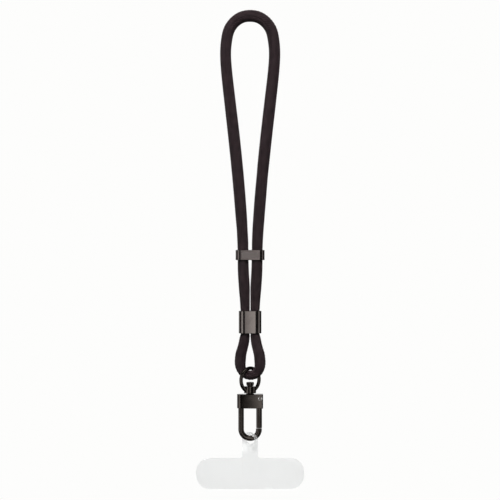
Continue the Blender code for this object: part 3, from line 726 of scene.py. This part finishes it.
def hook_block(material):
    """The block, with its upper and lower edges rounded."""
    mesh = bmesh.new()
    rows = []
    for up, inset_way in ((BLOCK_BOTTOM, 1), (BLOCK_TOP, -1)):
        turns = [math.pi / 2 * i / 4 for i in range(5)]
        edge = [
            (RIM_EDGE * (1 - math.sin(t)), up + inset_way * RIM_EDGE * (1 - math.cos(t)))
            for t in turns
        ]
        for inset, z in edge if inset_way > 0 else reversed(edge):
            rows.append([mesh.verts.new((x, y, z)) for x, y in block_plan(inset)])
    for first, second in zip(rows, rows[1:]):
        join_rows(mesh, first, second)
    mesh.faces.new(rows[0])
    mesh.faces.new(rows[-1])
    return finish_mesh("clasp_hook_polished", mesh, material)


def hook_wire(material):
    """The hook's wire, from inside the block round to its slightly thicker nose."""
    steps = 56
    nose_steps = 12
    path = [(-HOOK_BEND_RADIUS, BLOCK_BOTTOM + HOOK_WIRE_SEAT)]
    radii = [HOOK_WIRE_RADIUS]
    for i in range(steps + 1):
        swell = HOOK_NOSE_SWELL * max(i - steps + nose_steps, 0) / nose_steps
        angle = math.pi * (1 + i / steps)
        bend = HOOK_BEND_RADIUS - swell
        path.append((bend * math.cos(angle), HOOK_BEND_Z + bend * math.sin(angle)))
        radii.append(HOOK_WIRE_RADIUS + swell)
    nose_top = HOOK_BEND_Z + HOOK_NOSE_LENGTH
    for inset, below in ((0.0, 0.12 * MM), (0.04 * MM, 0.04 * MM), (0.12 * MM, 0.0)):
        path.append((path[-1][0], nose_top - below))
        radii.append(HOOK_WIRE_RADIUS + HOOK_NOSE_SWELL - inset)
    return round_bar("hook_wire", path, radii, material)


def gate_slot(material):
    """The room in the block that the gate turns in, open below and at the side."""
    eye_left = PIN_X - GATE_EYE - CLEARANCE
    shaft_left = GATE_X - GATE_RADIUS - CLEARANCE
    roof = PIN_Z + GATE_EYE + CLEARANCE
    below = BLOCK_BOTTOM - RIM_EDGE
    drop = PIN_Z - below
    open_left = PIN_X + (shaft_left - CLEARANCE - PIN_X) * math.cos(GATE_TURN)
    open_left -= drop * math.sin(GATE_TURN)
    outside = 2 * BLOCK_HALF_WIDTH
    upper_left = min(eye_left, shaft_left)
    outline = [
        (outside, roof), (upper_left, roof), (upper_left, PIN_Z - CLEARANCE),
        (open_left, below), (outside, below),
    ]
    half = GATE_RADIUS + CLEARANCE
    return slab("gate_slot", outline, -half, half, material)


hook = hook_block(hook_plate)
collar = turned("collar", [
    (0.0, BLOCK_TOP - RIM_EDGE), (COLLAR_RADIUS, BLOCK_TOP - RIM_EDGE),
    (COLLAR_RADIUS, BLOCK_TOP), (COLLAR_RADIUS - COLLAR_BEVEL, BLOCK_TOP + COLLAR_HEIGHT),
    (0.0, BLOCK_TOP + COLLAR_HEIGHT),
], hook_plate)
post_bore = turned(
    "post_bore", bore(BARREL_BORE, POST_FOOT - CLEARANCE, BLOCK_TOP + MM), hook_plate
)
pin_reach = 2 * BLOCK_HALF_DEPTH
pin_bore = turned(
    "pin_bore", bore(PIN_HOLE, -pin_reach, pin_reach), hook_plate, 48, "Y", (PIN_X, 0.0, PIN_Z)
)
combine(hook, [
    (collar, "UNION"), (hook_wire(hook_plate), "UNION"), (post_bore, "DIFFERENCE"),
    (gate_slot(hook_plate), "DIFFERENCE"), (pin_bore, "DIFFERENCE"),
])
fit(hook, "clasp", "clasp_hook")


# Gate
# A turned bar that closes the hook. It has an eye at its top, hangs on the pin inside the
# block and swings into the hook; a spring inside the block closes it.
GATE_BOTTOM = -225.551 * MM

gate = turned("gate_polished", [
    (0.0, GATE_BOTTOM),
    *arc(GATE_RADIUS - RIM_EDGE, GATE_BOTTOM + RIM_EDGE, RIM_EDGE, -90, 0, 4),
    (GATE_RADIUS, PIN_Z), (0.0, PIN_Z),
], hook_plate, centre=(GATE_X, 0.0, 0.0))
gate_eye = turned(
    "gate_eye", disc(GATE_EYE, -GATE_RADIUS, GATE_RADIUS, RIM_EDGE), hook_plate, 48, "Y",
    (PIN_X, 0.0, PIN_Z),
)
gate_bore = turned(
    "gate_bore", bore(PIN_HOLE, -pin_reach, pin_reach), hook_plate, 48, "Y", (PIN_X, 0.0, PIN_Z)
)
combine(gate, [(gate_eye, "UNION"), (gate_bore, "DIFFERENCE")])
fit(gate, "gate", "gate")


# Gate pin
# A turned steel pin, pressed through the block for the gate to swing on. Its round ends show
# in the block's two faces.
pin_plate = gunmetal("steel, turned, gunmetal plate", "8E8680", "7A726C", 0.25)
PIN_EDGE = 0.12 * MM
pin_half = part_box("gate_pin")[1].y
pin = turned(
    "gate_pin_turned", disc(PIN_RADIUS, -pin_half, pin_half, PIN_EDGE), pin_plate, 48, "Y",
    (PIN_X, 0.0, PIN_Z),
)
fit(pin, "clasp", "gate_pin")


# Phone tab
# A T of frosted clear polyurethane film, 0.6 mm thick. Its patch lies between phone and case,
# and its neck comes out of the case's opening and is looped on the hook, which twists it.
TAB_THICKNESS = 0.6 * MM
TAB_WIDTH = 60.1 * MM
TAB_CORNER = 7.9 * MM
TAB_NECK_HALF = 4.4 * MM
TAB_SHOULDER = 1.2 * MM
TAB_TOP = -227.951 * MM
TAB_HOLE_Z = -231.901 * MM
TAB_HOLE_RADIUS = 2.5 * MM
TAB_PATCH_TOP = -242.351 * MM
TAB_PATCH_BOTTOM = -259.451 * MM
TAB_RIM = 0.12 * MM
TAB_TWIST = 2.35 * MM
TAB_TWIST_SPAN = 8.0 * MM
TAB_TWIST_REACH = 2.6 * MM


def tab_outline():
    """Right half of the tab's outline, from the crown down and back up round the hole."""
    outline = arc(0.0, TAB_TOP - TAB_NECK_HALF, TAB_NECK_HALF, 90, 0, 24)
    outline += arc(
        TAB_NECK_HALF + TAB_SHOULDER, TAB_PATCH_TOP + TAB_SHOULDER, TAB_SHOULDER, 180, 270, 8
    )
    corner_x = TAB_WIDTH / 2 - TAB_CORNER
    outline += arc(corner_x, TAB_PATCH_TOP - TAB_CORNER, TAB_CORNER, 90, 0, 20)
    outline += arc(corner_x, TAB_PATCH_BOTTOM + TAB_CORNER, TAB_CORNER, 0, -90, 20)
    outline.append((0.0, TAB_PATCH_BOTTOM))
    return outline + arc(0.0, TAB_HOLE_Z, TAB_HOLE_RADIUS, -90, 90, 24)


def tab_twist(x, z):
    """How far the soft tab is twisted out of its plane where the hook runs through it."""
    level = min(abs(x) / TAB_TWIST_REACH, 1.0)
    side = math.copysign(math.sin(level * math.pi / 2), x)
    hold = 1.0 - min(max((TAB_HOLE_Z - z) / TAB_TWIST_SPAN, 0.0), 1.0)
    return -TAB_TWIST * side * hold * hold * (3.0 - 2.0 * hold)


# Polyurethane film, frosted: light comes through it softened, and its rim is a little darker.
tab_film, tree, shader = new_material(
    "polyurethane film, frosted", Base_Color=linear("F4F5F5"), Roughness=0.42,
    Transmission_Weight=0.85, Alpha=0.92,
)

mesh = bmesh.new()
mesh.faces.new([mesh.verts.new((x, 0.0, z)) for x, z in tab_outline()])
cuts = [((i * TAB_NECK_HALF / 10, 0.0, 0.0), (1.0, 0.0, 0.0)) for i in range(1, 10)]
cuts += [((0.0, 0.0, TAB_TOP - i * 0.5 * MM), (0.0, 0.0, 1.0)) for i in range(1, 25)]
for point, normal in cuts:
    geometry = mesh.verts[:] + mesh.edges[:] + mesh.faces[:]
    bmesh.ops.bisect_plane(mesh, geom=geometry, plane_co=point, plane_no=normal)
bmesh.ops.triangulate(mesh, faces=mesh.faces)
bmesh.ops.mirror(
    mesh, geom=mesh.verts[:] + mesh.edges[:] + mesh.faces[:], axis="X", merge_dist=0.001 * MM
)
for vert in mesh.verts:
    vert.co.y = tab_twist(vert.co.x, vert.co.z)
tab = finish_mesh("phone_tab_film", mesh, tab_film)
thickness = tab.modifiers.new("thickness", "SOLIDIFY")
thickness.thickness = TAB_THICKNESS
thickness.offset = 0.0
thickness.use_even_offset = True
rim = tab.modifiers.new("rim", "BEVEL")
rim.width = TAB_RIM
rim.segments = 2
rim.limit_method = "ANGLE"
rim.angle_limit = math.radians(50.0)
combine(tab, [])
fit(tab, "clasp", "phone_tab")


# Studio
# A pale seamless bowl all round, which only the camera and the clear tab see, and tall soft
# lights whose strips show in the polished metal. Two high key lights, in front and behind,
# light the rope and the tab alone.
BOWL_RADIUS = 3000.0 * MM
BOWL_TURN = 1000.0 * MM
BOWL_HEIGHT = 4000.0 * MM
FLOOR_Z = -300.0 * MM

bowl = bmesh.new()
profile = [(0.0, FLOOR_Z)]
profile += arc(BOWL_RADIUS - BOWL_TURN, FLOOR_Z + BOWL_TURN, BOWL_TURN, -90, 0, 16)
profile.append((BOWL_RADIUS, BOWL_HEIGHT))
verts = [bowl.verts.new((radius, 0.0, height)) for radius, height in profile]
edges = [bowl.edges.new(pair) for pair in zip(verts, verts[1:])]
bmesh.ops.spin(
    bowl, geom=verts + edges, cent=(0, 0, 0), axis=(0, 0, 1),
    angle=math.tau, steps=64, use_merge=True,
)
# Paper, seamless and white, so evenly lit that it shows as one tone
paper, tree, shader = new_material(
    "paper, seamless white", Base_Color=linear("000000"), Specular_IOR_Level=0.0,
    Emission_Color=linear("FDFDFC"), Emission_Strength=1.0,
)
studio_bowl = finish_mesh("studio_bowl", bowl, paper)
studio_bowl.visible_diffuse = False
studio_bowl.visible_glossy = False
studio_bowl.visible_shadow = False

world = bpy.data.worlds.new("studio")
world.use_nodes = True
world.node_tree.nodes["Background"].inputs["Color"].default_value = (1.0, 1.0, 1.0, 1.0)
world.node_tree.nodes["Background"].inputs["Strength"].default_value = 0.035
bpy.context.scene.world = world

# azimuth: degrees from the camera's side towards +X; rise: degrees above the horizon; wide and
# tall: degrees that the light spans; lights_cloth: whether it lights the rope and the tab,
# and not the metal
SoftLight = namedtuple("SoftLight", "name azimuth rise wide tall brightness lights_cloth")

SOFT_LIGHTS = (
    SoftLight("front_panel", 5.5, 0.0, 11.0, 60.0, 1.05, False),
    SoftLight("front_panel_fade", -2.5, 0.0, 5.0, 60.0, 0.62, False),
    SoftLight("front_panel_end", -7.5, 0.0, 5.0, 60.0, 0.25, False),
    SoftLight("left_strip", -59.0, 0.0, 32.0, 60.0, 0.85, False),
    SoftLight("right_strip", 80.0, 0.0, 26.0, 60.0, 0.55, False),
    SoftLight("back_panel", 180.0, 0.0, 24.0, 60.0, 0.8, False),
    SoftLight("back_left_strip", -125.0, 0.0, 20.0, 60.0, 0.6, False),
    SoftLight("top_strip", 0.0, 65.0, 50.0, 30.0, 0.9, False),
    SoftLight("key_light", 0.0, 42.0, 34.0, 30.0, 9.0, True),
    SoftLight("back_key_light", 180.0, 40.0, 34.0, 30.0, 7.0, True),
)
LIGHT_DISTANCE = 1.1
for soft in SOFT_LIGHTS:
    data = bpy.data.lights.new(soft.name, "AREA")
    data.shape = "RECTANGLE"
    data.size = 2 * LIGHT_DISTANCE * math.tan(math.radians(soft.wide / 2))
    data.size_y = 2 * LIGHT_DISTANCE * math.tan(math.radians(soft.tall / 2))
    data.energy = soft.brightness * math.pi * data.size * data.size_y
    light = bpy.data.objects.new(soft.name, data)
    bpy.context.scene.collection.objects.link(light)
    way = Matrix.Rotation(math.radians(soft.azimuth), 3, "Z") @ Vector((
        0.0, -math.cos(math.radians(soft.rise)), math.sin(math.radians(soft.rise)),
    ))
    light.location = PICTURE_CENTRE + way * LIGHT_DISTANCE
    light.rotation_euler = (-way).to_track_quat("-Z", "Y").to_euler()
    light.visible_camera = False
    light.visible_transmission = soft.lights_cloth
    light.visible_diffuse = soft.lights_cloth
    light.visible_glossy = not soft.lights_cloth
